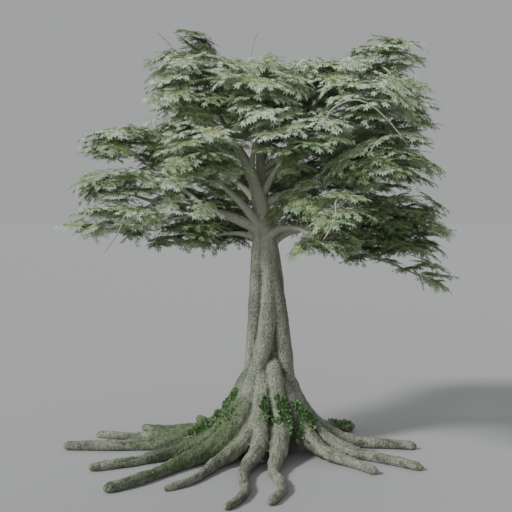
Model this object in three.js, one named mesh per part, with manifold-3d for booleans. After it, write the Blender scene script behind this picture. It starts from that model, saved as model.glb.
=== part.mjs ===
// Kapok tree: a fluted trunk on long surface roots, a fork of boughs, and a crown of masses of foliage.
// Each mass grows from one stem at its bough's tip, and its twigs end in umbrella-shaped sprays of leaves.
// Lengths are millimetres, +Z is up, -Y is the front, and the origin is on the trunk's axis at ground level.
import * as THREE from 'three';
import { mergeVertices } from 'three/addons/utils/BufferGeometryUtils.js';
import Module from 'manifold-3d';

const wasm = await Module();
wasm.setup();

// Driving dimensions of the trunk
const FORK_HEIGHT = 8500; // ground to the fork
const FORK_DOME = 320; // rounded top of the trunk, between the boughs
const FORK_CLOSING = 0.8; // how far the dome draws in
const FORK_RADIUS = 430;
const FOOT_RADIUS = 1290; // at the ground, between the root flares
const FLUTES = 5; // strands that the trunk is fused from
const FLUTE_DEPTH = 0.2; // groove, as a share of the radius
const FLUTE_TWIST = 0.00016; // radians for each millimetre of height
const FLUTE_START = 0.35; // radians, turn of the first strand at the ground
const FLARE_REACH = 280; // how far a flare stands out over its root, at the ground
const FLARE_HOLLOW = 300; // how far the foot draws back between two roots
const FLARE_HEIGHT = 700; // height over which a flare dies away
const FLARE_WIDTH = 0.17; // radians, half width of a flare
const LEAN = [0, 70, -150]; // sideways place of the trunk's middle at the foot, the knee and the fork
const KNEE_HEIGHT = 3400; // where the lean turns back
const TRUNK_SIDES = 30;
const TRUNK_RINGS = 11;
const RING_CROWDING = 1.25; // how much closer together the rings are near the ground

// Driving dimensions of the roots, boughs and twigs
const GAP = 0.3; // between pieces that meet
const WELD = 0.01; // corners nearer than this are one
const SHORTEST_EDGE = 0.05; // shorter edges left by a cut are closed up
const LEAF_EDGE = 2; // and those left where a twig or a spray joins
const ROOT_START = 620; // distance of a root's hidden end from the trunk's axis
const ROOT_RISE = 2850; // height of a root where it leaves the trunk
const ROOT_FALL = 850; // distance over which a root comes down to the ground
const ROOT_REST = 0.72; // height of a lying root's middle, as a share of its radius
const ROOT_BASE_RADIUS = 330;
const ROOT_TIP_RADIUS = 165;
const ROOT_WAVES = 1.6; // bends of a winding root along its length
const ROOT_SIDES = 6;
const ROOT_STEPS = 9;
const BOUGH_TIP_SHARE = 0.42; // tip radius, as a share of the base radius
const BOUGH_ENTRY = 0.78; // where a bough ends inside its mass, as a share of the mass's half size
const BOUGH_SIDES = 6;
const BOUGH_STEPS = 4;
const PLACES_ON_LIMB = 60; // places on a limb where another can spring from it
const STEM_REACH = 0.3; // how far a mass's stem runs past the middle, as a share of the way there
const STEM_BEND = 0.4; // how long a stem keeps its bough's heading, as a share of its length
const STEM_TIP_RADIUS = 55;
const TWIG_RADIUS = [18, 13]; // at the stem and at the spray
const TWIG_FEET = [0.2, 0.7]; // first and last place of a twig on the stem, in shares of its length
const TWIG_STAGGER = 0.18; // spread of the twigs round such a place
const STEM_SIDES = 4;
const STEM_STEPS = 2;
const TWIG_SIDES = 3;

// Driving dimensions of the sprays
const SPRAY_RADIUS = [1550, 660]; // longest lobe, from the first spray of a mass to the last
const SPRAY_LOBES = 5;
const SPRAY_NOTCH = 0.6; // depth between two lobes, as a share of the radius
const SPRAY_DROOP = 0.48; // fall of a lobe's tip, as a share of the radius
const SPRAY_THICKNESS = 0.06; // at the hub, as a share of the radius
const SPRAY_ASIDE = 0.1; // distance of the underside's pole from the hub, as a share of the radius
const SPRAY_SAG = 0.05; // how much lower it hangs for standing aside, as a share of the radius
const SPRAY_TILT = 0.4; // lean of an outer spray's axis away from the mass's middle
const SPRAY_TRIALS = 420; // places tried in each mass
const SPRAY_CLEARANCE = [0.6, 420]; // between two hubs: sideways in shares of their radii, and in height
const SPACE_POWER = 3; // how square the space of a mass is: 2 is round
const SPACE_MARGIN = 0.04; // clear strip between two masses, in shares of their half sizes
const LIMB_MARGIN = 60; // clear strip round a limb
const LIMB_SAMPLING = 120; // distance between the places where a limb is tested
const TWIG_TESTS = 8; // steps along a twig where it is tested
const TWIG_SUNK = 2; // of them, those at the foot, in the stem

// Surface roots: where each leaves the trunk and where its tip heads (degrees from +X, front at 270),
// its reach from the axis, its sideways winding, and its thickness against the common one.
const ROOTS = [
  { name: 'root_left', leaves: 190, heads: 184, reach: 7800, sway: 60, thick: 1 },
  { name: 'root_left_rear', leaves: 172, heads: 170, reach: 7000, sway: 80, thick: 0.85 },
  { name: 'root_rear_left', leaves: 150, heads: 156, reach: 5700, sway: 60, thick: 0.9 },
  { name: 'root_rear_left_inner', leaves: 128, heads: 129, reach: 4800, sway: 90, thick: 0.85 },
  { name: 'root_left_front', leaves: 205, heads: 207, reach: 7100, sway: 60, thick: 0.95 },
  { name: 'root_front_left', leaves: 221, heads: 226, reach: 7750, sway: 70, thick: 1.05 },
  { name: 'root_front_left_inner', leaves: 241, heads: 238, reach: 6400, sway: 170, thick: 0.75 },
  { name: 'root_front', leaves: 259, heads: 260, reach: 7300, sway: 230, thick: 0.8 },
  { name: 'root_front_right', leaves: 279, heads: 271, reach: 6750, sway: 260, thick: 0.82 },
  { name: 'root_right_front', leaves: 318, heads: 316, reach: 5250, sway: 70, thick: 0.88 },
  { name: 'root_right', leaves: 337, heads: 330, reach: 6300, sway: 60, thick: 0.95 },
  { name: 'root_right_rear', leaves: 358, heads: 355, reach: 5700, sway: 50, thick: 0.95 },
  { name: 'root_rear_right', leaves: 30, heads: 33, reach: 4300, sway: 60, thick: 0.9 },
  { name: 'root_rear', leaves: 64, heads: 72, reach: 5000, sway: 120, thick: 0.9 },
  { name: 'root_rear_inner', leaves: 96, heads: 99, reach: 6300, sway: 120, thick: 0.95 },
];

// Masses of foliage: the middle and the half sizes of the space that each keeps to, and its growth's seed.
const MASSES = {
  top_left: { centre: [-2450, -1200, 13350], half: [2200, 1900, 1400], seed: 40 },
  top_left_plume: { centre: [-3350, 2000, 15250], half: [1500, 1400, 1000], seed: 90 },
  top_middle: { centre: [-450, 800, 14100], half: [1850, 1700, 1050], seed: 41 },
  front_top: { centre: [-250, -3000, 13050], half: [1800, 1400, 800], seed: 49 },
  top_right: { centre: [2100, -1000, 13550], half: [1750, 1800, 1050], seed: 176 },
  right_front_top: { centre: [3350, -2700, 12650], half: [1550, 1450, 1050], seed: 173 },
  top_right_plume: { centre: [4550, 1400, 14700], half: [1700, 1500, 1000], seed: 337 },
  right_upper: { centre: [4800, -400, 12550], half: [1600, 1700, 1450], seed: 134 },
  middle_front: { centre: [800, -3200, 11450], half: [2000, 1600, 1150], seed: 132 },
  left_middle: { centre: [-2300, -2200, 10750], half: [1900, 1800, 1150], seed: 123 },
  left_upper_arm: { centre: [-5450, 800, 11450], half: [1900, 1400, 850], seed: 99 },
  left_arm: { centre: [-5250, 0, 9800], half: [2150, 1500, 900], seed: 282 },
  left_low_arm: { centre: [-5650, -1200, 8500], half: [1950, 1300, 800], seed: 140 },
  left_low: { centre: [-3150, 500, 8450], half: [1800, 1700, 1250], seed: 98 },
  back_low: { centre: [-1850, 3400, 8450], half: [1600, 1600, 1000], seed: 86 },
  right_middle: { centre: [3900, -2000, 10650], half: [2200, 1800, 1250], seed: 331 },
  right_low: { centre: [4700, 800, 8150], half: [2350, 1900, 1550], seed: 324 },
  right_low_front: { centre: [1950, -3500, 8600], half: [1450, 1500, 1350], seed: 45 },
  right_low_tip: { centre: [6050, 0, 6500], half: [1150, 1000, 800], seed: 301 },
  back_left: { centre: [-3000, 3800, 11600], half: [2300, 1700, 1500], seed: 88 },
  back_right: { centre: [2700, 4000, 10800], half: [2350, 1800, 1750], seed: 167 },
  back_top: { centre: [950, 3600, 13650], half: [2450, 1600, 1350], seed: 175 },
};

// Boughs, in the order they are fitted: the mass each carries, the limb it springs from and the height there,
// its base radius, how far out along its way it bends, and how far the bend lifts it.
const BOUGHS = [
  { mass: 'top_left', name: 'leader_left', from: 'trunk', at: 8100, radius: 300, bend: 0.1, lift: 2500 },
  { mass: 'top_middle', name: 'leader_right', from: 'trunk', at: 8100, radius: 270, bend: 0.4, lift: 0 },
  { mass: 'left_arm', from: 'trunk', at: 8250, radius: 220, bend: 0.4, lift: 450 },
  { mass: 'left_middle', from: 'trunk', at: 8350, radius: 190, bend: 0.5, lift: 150 },
  { mass: 'right_low', from: 'trunk', at: 7650, radius: 205, bend: 0.4, lift: 1250 },
  { mass: 'right_low_front', from: 'trunk', at: 7900, radius: 160, bend: 0.4, lift: 700 },
  { mass: 'back_low', from: 'trunk', at: 7800, radius: 160, bend: 0.45, lift: 300 },
  { mass: 'back_right', from: 'trunk', at: 8250, radius: 180, bend: 0.45, lift: 350 },
  { mass: 'back_left', from: 'leader_left', at: 9300, radius: 150, bend: 0.45, lift: 250 },
  { mass: 'front_top', from: 'leader_left', at: 10500, radius: 120, bend: 0.4, lift: 300 },
  { mass: 'top_left_plume', from: 'leader_left', at: 11500, radius: 110, bend: 0.5, lift: 150 },
  { mass: 'right_middle', from: 'leader_right', at: 9250, radius: 170, bend: 0.4, lift: 350 },
  { mass: 'middle_front', from: 'leader_right', at: 9600, radius: 140, bend: 0.45, lift: 250 },
  { mass: 'right_front_top', from: 'leader_right', at: 10600, radius: 120, bend: 0.4, lift: 250 },
  { mass: 'right_upper', from: 'leader_right', at: 10400, radius: 150, bend: 0.4, lift: 300 },
  { mass: 'back_top', from: 'leader_right', at: 10900, radius: 130, bend: 0.45, lift: 150 },
  { mass: 'top_right', from: 'leader_right', at: 11300, radius: 125, bend: 0.4, lift: 200 },
  { mass: 'top_right_plume', from: 'leader_right', at: 11900, radius: 115, bend: 0.4, lift: 400 },
  { mass: 'left_low', from: 'trunk', at: 7900, radius: 150, bend: 0.5, lift: 300 },
  { mass: 'left_upper_arm', from: 'bough_left_arm', at: 9100, radius: 95, bend: 0.4, lift: 150 },
  { mass: 'left_low_arm', from: 'bough_left_arm', at: 8900, radius: 95, bend: 0.4, lift: 300 },
  { mass: 'right_low_tip', from: 'bough_right_low', at: 8400, radius: 85, bend: 0.5, lift: 0 },
];

const barkMaterial = new THREE.MeshStandardMaterial({ color: 0x9a9c8a, roughness: 0.92, metalness: 0 });
const rootMaterial = new THREE.MeshStandardMaterial({ color: 0x86906f, roughness: 0.95, metalness: 0 });
const leafMaterial = new THREE.MeshStandardMaterial({ color: 0x7c9168, roughness: 0.6, metalness: 0 });

const { lerp, clamp, degToRad, smoothstep } = THREE.MathUtils;

// The same row of numbers from 0 to 1 for the same seed.
function seeded(seed) {
  let state = Math.imul(seed, 2654435761) >>> 0;
  return () => {
    state = (Math.imul(state, 1664525) + 1013904223) >>> 0;
    return state / 4294967296;
  };
}

// Solids and meshes
function solidOf(geometry) {
  geometry.deleteAttribute('normal');
  geometry.deleteAttribute('uv');
  const merged = mergeVertices(geometry, WELD);
  return new wasm.Manifold(new wasm.Mesh({
    numProp: 3,
    vertProperties: merged.attributes.position.array,
    triVerts: new Uint32Array(merged.index.array),
  }));
}

// The largest body of a solid: a cut or a join can leave a loose scrap beside it.
function largestOf(solid) {
  return solid.decompose().reduce((best, body) => (body.volume() > best.volume() ? body : best));
}

function meshOf(name, solid, material) {
  const { vertProperties, triVerts } = solid.asOriginal().simplify(SHORTEST_EDGE).getMesh();
  const geometry = new THREE.BufferGeometry();
  geometry.setAttribute('position', new THREE.BufferAttribute(vertProperties, 3));
  geometry.setIndex(new THREE.BufferAttribute(triVerts, 1));
  geometry.computeVertexNormals();
  const mesh = new THREE.Mesh(geometry, material.clone());
  mesh.name = name;
  return mesh;
}

// A limb is a cylinder bent along a curve, with a radius for each place along it, and stays over the floor.
// A grown limb is thicker and longer all round, to cut its neighbours back with.
function limbSolid(curve, radiusAt, sides, steps, grow = 0, floor = -Infinity) {
  const geometry = new THREE.CylinderGeometry(1, 1, 1, sides, steps);
  const frames = curve.computeFrenetFrames(steps);
  const places = geometry.attributes.position;
  for (let i = 0; i < places.count; i++) {
    const ring = Math.round((places.getY(i) + 0.5) * steps);
    const end = (ring === steps) - (ring === 0); // 1 at the tip, -1 at the base, 0 between
    const radius = radiusAt(ring / steps) + grow;
    const place = curve.getPointAt(ring / steps).addScaledVector(frames.tangents[ring], end * grow);
    place.addScaledVector(frames.normals[ring], radius * places.getZ(i));
    place.addScaledVector(frames.binormals[ring], radius * places.getX(i));
    places.setXYZ(i, place.x, place.y, Math.max(place.z, floor - grow));
  }
  return solidOf(geometry);
}

// Trunk
function trunkMiddle(height) {
  const [foot, knee, fork] = LEAN;
  const x = height < KNEE_HEIGHT
    ? lerp(foot, knee, smoothstep(height, 0, KNEE_HEIGHT))
    : lerp(knee, fork, (height - KNEE_HEIGHT) / (FORK_HEIGHT - KNEE_HEIGHT));
  return new THREE.Vector3(x, 0, height);
}

function trunkRadius(angle, height) {
  const taper = lerp(FOOT_RADIUS, FORK_RADIUS, Math.min(height / FORK_HEIGHT, 1));
  const turn = angle - FLUTE_START - FLUTE_TWIST * height;
  const strand = Math.abs(Math.cos((FLUTES / 2) * turn)); // 0 in a groove, 1 on a strand
  const flare = Math.max(...ROOTS.map((root) => {
    const away = Math.atan2(Math.sin(angle - degToRad(root.leaves)), Math.cos(angle - degToRad(root.leaves)));
    return Math.exp(-((away / FLARE_WIDTH) ** 2));
  }));
  const foot = lerp(-FLARE_HOLLOW, FLARE_REACH, flare) * Math.exp(-height / FLARE_HEIGHT);
  return taper * (1 - FLUTE_DEPTH * (1 - strand)) + foot;
}

function trunkSolid(grow) {
  const geometry = new THREE.CylinderGeometry(1, 1, 1, TRUNK_SIDES, TRUNK_RINGS);
  const top = FORK_HEIGHT + FORK_DOME;
  const places = geometry.attributes.position;
  for (let i = 0; i < places.count; i++) {
    const height = top * (places.getY(i) + 0.5) ** RING_CROWDING;
    const angle = Math.atan2(places.getX(i), places.getZ(i));
    const over = Math.max(0, height - FORK_HEIGHT + FORK_DOME) / (2 * FORK_DOME);
    const dome = Math.sqrt(1 - FORK_CLOSING * over * over);
    const radius = Math.hypot(places.getX(i), places.getZ(i)) * (trunkRadius(angle, height) * dome + grow);
    const middle = trunkMiddle(height);
    const level = height === 0 ? -grow : height + grow * over;
    places.setXYZ(i, middle.x + radius * Math.cos(angle), middle.y + radius * Math.sin(angle), level);
  }
  return solidOf(geometry);
}

// Roots
function rootCurve(root) {
  const points = [];
  for (let i = 0; i <= ROOT_STEPS; i++) {
    const share = i / ROOT_STEPS;
    const out = lerp(ROOT_START, root.reach, share);
    const angle = degToRad(lerp(root.leaves, root.heads, smoothstep(share, 0, 1)));
    const aside = root.sway * Math.sin(2 * Math.PI * ROOT_WAVES * share) * Math.sqrt(share);
    const height = ROOT_REST * rootRadius(root, share) + ROOT_RISE * Math.exp((ROOT_START - out) / ROOT_FALL);
    const x = out * Math.cos(angle) - aside * Math.sin(angle);
    const y = out * Math.sin(angle) + aside * Math.cos(angle);
    points.push(new THREE.Vector3(x, y, height));
  }
  return new THREE.CatmullRomCurve3(points);
}

function rootRadius(root, share) {
  return root.thick * lerp(ROOT_BASE_RADIUS, ROOT_TIP_RADIUS, Math.sqrt(share));
}

function rootSolid(root, grow) {
  return limbSolid(rootCurve(root), (share) => rootRadius(root, share), ROOT_SIDES, ROOT_STEPS, grow, 0);
}

// Boughs
function shareOut(mass, place) {
  const { centre, half } = MASSES[mass];
  const shares = place.toArray().map((value, i) => Math.abs(value - centre[i]) / half[i]);
  const sum = shares.reduce((total, share) => total + share ** SPACE_POWER, 0);
  return sum ** (1 / SPACE_POWER); // 0 in the middle of the mass's space, 1 at its edge
}

const limbCurves = new Map();

function nameOf(bough) {
  return bough.name ?? 'bough_' + bough.mass;
}

// The place on a limb's middle line at a given height, or the end that is nearest to it.
function placeOn(limb, height) {
  if (limb === 'trunk') return trunkMiddle(height);
  const points = limbCurves.get(limb).getSpacedPoints(PLACES_ON_LIMB);
  return points.reduce((best, p) => (Math.abs(p.z - height) < Math.abs(best.z - height) ? p : best));
}

function boughCurve(bough) {
  const start = placeOn(bough.from, bough.at);
  const centre = new THREE.Vector3(...MASSES[bough.mass].centre);
  const back = start.clone().sub(centre);
  const tip = centre.clone().addScaledVector(back, BOUGH_ENTRY / shareOut(bough.mass, start));
  const bend = start.clone().lerp(tip, bough.bend);
  bend.z += bough.lift;
  return new THREE.QuadraticBezierCurve3(start, bend, tip);
}

function boughRadius(bough, share) {
  return bough.radius * lerp(1, BOUGH_TIP_SHARE, share);
}

function boughSolid(bough, grow) {
  const curve = limbCurves.get(nameOf(bough));
  return limbSolid(curve, (share) => boughRadius(bough, share), BOUGH_SIDES, BOUGH_STEPS, grow);
}

// Space of a mass: inside its own half sizes, nearer to its middle than to any other's, and clear of limbs.
const limbBalls = [];

function noteLimb(curve, radiusAt) {
  const count = Math.ceil(curve.getLength() / LIMB_SAMPLING);
  curve.getSpacedPoints(count).forEach((place, i) => limbBalls.push({ place, radius: radiusAt(i / count) }));
}

function isOwnSpace(mass, place) {
  const own = shareOut(mass, place);
  const others = Object.keys(MASSES).filter((other) => other !== mass);
  return own <= 1 && others.every((other) => shareOut(other, place) > own + SPACE_MARGIN);
}

function isClearOfLimbs(place) {
  return limbBalls.every((ball) => ball.place.distanceTo(place) > ball.radius + LIMB_MARGIN);
}

// Sprays: an umbrella of lobes round a hub, as a two-sided pyramid with a rim drawn out to tips and notches.
function sprayRim(spray) {
  const rim = [];
  for (let i = 0; i < 2 * SPRAY_LOBES; i++) {
    const share = i % 2 === 0 ? 1 : SPRAY_NOTCH;
    const angle = spray.spin + (Math.PI * i) / SPRAY_LOBES;
    rim.push(spray.hub.clone()
      .addScaledVector(spray.side, spray.radius * share * Math.cos(angle))
      .addScaledVector(spray.front, spray.radius * share * Math.sin(angle))
      .addScaledVector(spray.axis, -SPRAY_DROOP * spray.radius * share * share));
  }
  return rim;
}

// The top pole is over the hub. The underside's pole stands aside, so that the twig meets a single face, and
// hangs lower by as much as the top has fallen there.
function sprayPole(spray, pole) {
  const aside = pole > 0 ? 0 : SPRAY_ASIDE * spray.radius;
  const sag = pole > 0 ? 0 : SPRAY_SAG * spray.radius;
  const angle = spray.spin + Math.PI / (2 * SPRAY_LOBES);
  return spray.hub.clone()
    .addScaledVector(spray.side, aside * Math.cos(angle))
    .addScaledVector(spray.front, aside * Math.sin(angle))
    .addScaledVector(spray.axis, (pole * SPRAY_THICKNESS * spray.radius) / 2 - sag);
}

function spraySolid(spray) {
  const rim = sprayRim(spray);
  const geometry = new THREE.SphereGeometry(1, rim.length, 2);
  const places = geometry.attributes.position;
  for (let i = 0; i < places.count; i++) {
    const pole = Math.round(places.getY(i)); // 1 at the top, -1 at the bottom, 0 on the rim
    const turn = Math.atan2(places.getZ(i), -places.getX(i)) / (2 * Math.PI);
    const corner = (Math.round(turn * rim.length) + rim.length) % rim.length;
    const place = pole === 0 ? rim[corner] : sprayPole(spray, pole);
    places.setXYZ(i, place.x, place.y, place.z);
  }
  return solidOf(geometry);
}

function sprayAt(mass, random, radius) {
  const centre = new THREE.Vector3(...MASSES[mass].centre);
  const half = new THREE.Vector3(...MASSES[mass].half);
  const out = new THREE.Vector3(2 * random() - 1, 2 * random() - 1, 2 * random() - 1);
  const hub = centre.add(out.clone().multiply(half));
  const axis = new THREE.Vector3(SPRAY_TILT * out.x, SPRAY_TILT * out.y, 1).normalize();
  const side = new THREE.Vector3(0, 1, 0).cross(axis).normalize();
  const front = axis.clone().cross(side);
  return { hub, axis, side, front, radius, spin: 2 * Math.PI * random(), stagger: random() };
}

function areApart(one, other) {
  const [sideways, upright] = SPRAY_CLEARANCE;
  const reach = sideways * (one.radius + other.radius);
  const across = Math.hypot(one.hub.x - other.hub.x, one.hub.y - other.hub.y);
  return Math.hypot(across / reach, (one.hub.z - other.hub.z) / upright) > 1;
}

// Stem and twigs
function stemCurve(bough) {
  const curve = limbCurves.get(nameOf(bough));
  const ahead = curve.getTangentAt(1);
  const start = curve.getPointAt(1).addScaledVector(ahead, GAP);
  const centre = new THREE.Vector3(...MASSES[bough.mass].centre);
  const end = centre.clone().lerp(start, -STEM_REACH);
  const bend = start.clone().addScaledVector(ahead, STEM_BEND * start.distanceTo(end));
  return new THREE.QuadraticBezierCurve3(start, bend, end);
}

function twigCurve(stem, spray) {
  const [start, end] = [stem.getPoint(0), stem.getPoint(1)];
  const chord = end.clone().sub(start);
  const share = clamp(spray.hub.clone().sub(start).dot(chord) / chord.lengthSq(), 0, 1);
  const foot = lerp(...TWIG_FEET, share) + TWIG_STAGGER * spray.stagger;
  return new THREE.LineCurve3(stem.getPoint(foot), spray.hub);
}

// A mass is its stem with every twig and spray that keeps to the mass's space, large sprays first.
function massSolid(bough) {
  const random = seeded(MASSES[bough.mass].seed);
  const isFree = (place) => isOwnSpace(bough.mass, place) && isClearOfLimbs(place);
  const stem = stemCurve(bough);
  const stemRadius = (share) => lerp(boughRadius(bough, 1), STEM_TIP_RADIUS, share);
  const pieces = [limbSolid(stem, stemRadius, STEM_SIDES, STEM_STEPS)];
  const sprays = [];
  for (let trial = 0; trial < SPRAY_TRIALS; trial++) {
    const spray = sprayAt(bough.mass, random, lerp(...SPRAY_RADIUS, trial / SPRAY_TRIALS));
    const rim = sprayRim(spray);
    const edges = rim.map((place, i) => place.clone().lerp(rim[(i + 1) % rim.length], 0.5));
    const rays = rim.map((place) => place.clone().lerp(spray.hub, 0.5));
    const twig = twigCurve(stem, spray);
    const reach = [spray.hub, ...rim, ...edges, ...rays, ...twig.getPoints(TWIG_TESTS).slice(TWIG_SUNK)];
    if (!sprays.every((other) => areApart(spray, other)) || !reach.every(isFree)) continue;
    sprays.push(spray);
    pieces.push(limbSolid(twig, (share) => lerp(...TWIG_RADIUS, share), TWIG_SIDES, 1), spraySolid(spray));
  }
  return largestOf(wasm.Manifold.union(pieces).asOriginal().simplify(LEAF_EDGE).subtract(wood));
}

// The whole tree. Each piece is cut back from the pieces before it that it grows from or lies against.
const roots = new THREE.Group();
let wood = trunkSolid(GAP);
for (const root of ROOTS) {
  roots.add(meshOf(root.name, largestOf(rootSolid(root, 0).subtract(wood)), rootMaterial));
  wood = wood.add(rootSolid(root, GAP));
}

const boughs = new THREE.Group();
wood = trunkSolid(GAP);
for (const bough of BOUGHS) {
  const curve = boughCurve(bough);
  limbCurves.set(nameOf(bough), curve);
  noteLimb(curve, (share) => boughRadius(bough, share));
  boughs.add(meshOf(nameOf(bough), largestOf(boughSolid(bough, 0).subtract(wood)), barkMaterial));
  wood = wood.add(boughSolid(bough, GAP));
}
noteLimb(new THREE.LineCurve3(trunkMiddle(0), trunkMiddle(FORK_HEIGHT)), () => FORK_RADIUS);

const foliage = new THREE.Group();
for (const bough of BOUGHS) {
  foliage.add(meshOf('foliage_' + bough.mass, massSolid(bough), leafMaterial));
}

const tree = new THREE.Group();
tree.add(meshOf('trunk', trunkSolid(0), barkMaterial), roots, boughs, foliage);

export default tree;
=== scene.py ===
import itertools
import math

import bpy
import numpy as np
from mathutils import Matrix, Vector
from mathutils.bvhtree import BVHTree


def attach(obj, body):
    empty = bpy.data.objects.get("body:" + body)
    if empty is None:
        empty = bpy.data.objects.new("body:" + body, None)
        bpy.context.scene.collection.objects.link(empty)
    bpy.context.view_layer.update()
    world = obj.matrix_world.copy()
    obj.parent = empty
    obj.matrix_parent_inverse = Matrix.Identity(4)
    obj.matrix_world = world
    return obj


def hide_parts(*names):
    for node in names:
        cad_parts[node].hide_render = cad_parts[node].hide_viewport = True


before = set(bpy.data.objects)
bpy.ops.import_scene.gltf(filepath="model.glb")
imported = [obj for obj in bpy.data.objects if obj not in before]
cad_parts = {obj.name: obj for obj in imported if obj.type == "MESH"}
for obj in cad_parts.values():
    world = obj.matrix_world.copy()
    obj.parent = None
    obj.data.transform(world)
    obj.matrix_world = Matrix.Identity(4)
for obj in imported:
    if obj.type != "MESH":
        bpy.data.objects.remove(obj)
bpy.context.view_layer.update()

# Studio: a plain pale floor under a soft key light from the upper left, weak light from the front and from
# behind and a light sky. The camera stands where the photograph was taken from, a little above mid height.
CAMERA_PLACE = (-0.46, -34.0, 9.75)
CAMERA_PITCH = 4.0  # degrees below level
CAMERA_HALF_ANGLE = 16.0  # degrees
SENSOR = 36.0
FLOOR_RADIUS = 260.0
FLOOR_SIDES = 96
FLOOR_COLOUR = (0.349, 0.352, 0.355, 1)
SKY_COLOUR = (0.74, 0.75, 0.76, 1)
SKY_STRENGTH = 0.56

camera = bpy.data.objects.new("camera", bpy.data.cameras.new("camera"))
camera.data.sensor_width = SENSOR
camera.data.lens = SENSOR / 2 / math.tan(math.radians(CAMERA_HALF_ANGLE))
camera.data.clip_end = 1000
camera.location = CAMERA_PLACE
camera.rotation_euler = (math.radians(90 - CAMERA_PITCH), 0, 0)
bpy.context.scene.collection.objects.link(camera)
bpy.context.scene.camera = camera

for name, place, softness, power in (
    ("key", (-27, -13, 24), 10, 3.2),
    ("fill", (-9, -32, 8), 40, 0.6),
    ("rim", (9, 26, 26), 30, 0.4),
):
    lamp = bpy.data.objects.new(name, bpy.data.lights.new(name, "SUN"))
    lamp.data.angle = math.radians(softness)
    lamp.data.energy = power
    lamp.location = place
    lamp.rotation_euler = Vector(place).to_track_quat("Z", "Y").to_euler()
    bpy.context.scene.collection.objects.link(lamp)

sky = bpy.data.worlds.new("sky")
sky.use_nodes = True
sky.node_tree.nodes["Background"].inputs["Color"].default_value = SKY_COLOUR
sky.node_tree.nodes["Background"].inputs["Strength"].default_value = SKY_STRENGTH
bpy.context.scene.world = sky


def plain_material(name, colour, roughness):
    material = bpy.data.materials.new(name)
    material.use_nodes = True
    shader = material.node_tree.nodes["Principled BSDF"]
    shader.inputs["Base Color"].default_value = colour
    shader.inputs["Roughness"].default_value = roughness
    return material


def mesh_object(name, corners, faces, material, smooth):
    mesh = bpy.data.meshes.new(name)
    mesh.from_pydata(np.asarray(corners, float), [], np.asarray(faces, int))
    mesh.polygons.foreach_set("use_smooth", np.full(len(mesh.polygons), smooth))
    mesh.materials.append(material)
    mesh.update()
    made = bpy.data.objects.new(name, mesh)
    bpy.context.scene.collection.objects.link(made)
    return made


def around(count):
    """The angles of even steps round a full turn."""
    return np.linspace(0, 2 * math.pi, count, endpoint=False)


def heading_at(angle):
    """Level headings at the given angles."""
    return np.stack([np.cos(angle), np.sin(angle), 0 * angle], axis=-1)


floor_edge = FLOOR_RADIUS * heading_at(around(FLOOR_SIDES))
floor_paint = plain_material("floor_paint", FLOOR_COLOUR, 0.8)
floor = mesh_object("floor", floor_edge, [range(FLOOR_SIDES)], floor_paint, False)

# Boughs: two leaders that go on from the trunk and the limbs that spring from the fork and from them, of
# living wood under thin pale bark. Each tapers along one bend and ends inside the mass that it carries.
SPACE_POWER = 3  # how square the space of a mass is: 2 is round
MASSES = {  # middle and half sizes of the space that each mass of foliage keeps to, and its growth's seed
    "top_left": ((-2.45, -1.2, 13.35), (2.2, 1.9, 1.4), 40),
    "top_left_plume": ((-3.35, 2.0, 15.25), (1.5, 1.4, 1.0), 90),
    "top_middle": ((-0.45, 0.8, 14.1), (1.85, 1.7, 1.05), 41),
    "front_top": ((-0.25, -3.0, 13.05), (1.8, 1.4, 0.8), 49),
    "top_right": ((2.1, -1.0, 13.55), (1.75, 1.8, 1.05), 176),
    "right_front_top": ((3.35, -2.7, 12.65), (1.55, 1.45, 1.05), 173),
    "top_right_plume": ((4.55, 1.4, 14.7), (1.7, 1.5, 1.0), 337),
    "right_upper": ((4.8, -0.4, 12.55), (1.6, 1.7, 1.45), 134),
    "middle_front": ((0.8, -3.2, 11.45), (2.0, 1.6, 1.15), 132),
    "left_middle": ((-2.3, -2.2, 10.75), (1.9, 1.8, 1.15), 123),
    "left_upper_arm": ((-5.45, 0.8, 11.45), (1.9, 1.4, 0.85), 99),
    "left_arm": ((-5.25, 0.0, 9.8), (2.15, 1.5, 0.9), 282),
    "left_low_arm": ((-5.65, -1.2, 8.5), (1.95, 1.3, 0.8), 140),
    "left_low": ((-3.15, 0.5, 8.45), (1.8, 1.7, 1.25), 98),
    "back_low": ((-1.85, 3.4, 8.45), (1.6, 1.6, 1.0), 86),
    "right_middle": ((3.9, -2.0, 10.65), (2.2, 1.8, 1.25), 331),
    "right_low": ((4.7, 0.8, 8.15), (2.35, 1.9, 1.55), 324),
    "right_low_front": ((1.95, -3.5, 8.6), (1.45, 1.5, 1.35), 45),
    "right_low_tip": ((6.05, 0.0, 6.5), (1.15, 1.0, 0.8), 301),
    "back_left": ((-3.0, 3.8, 11.6), (2.3, 1.7, 1.5), 88),
    "back_right": ((2.7, 4.0, 10.8), (2.35, 1.8, 1.75), 167),
    "back_top": ((0.95, 3.6, 13.65), (2.45, 1.6, 1.35), 175),
}
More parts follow.
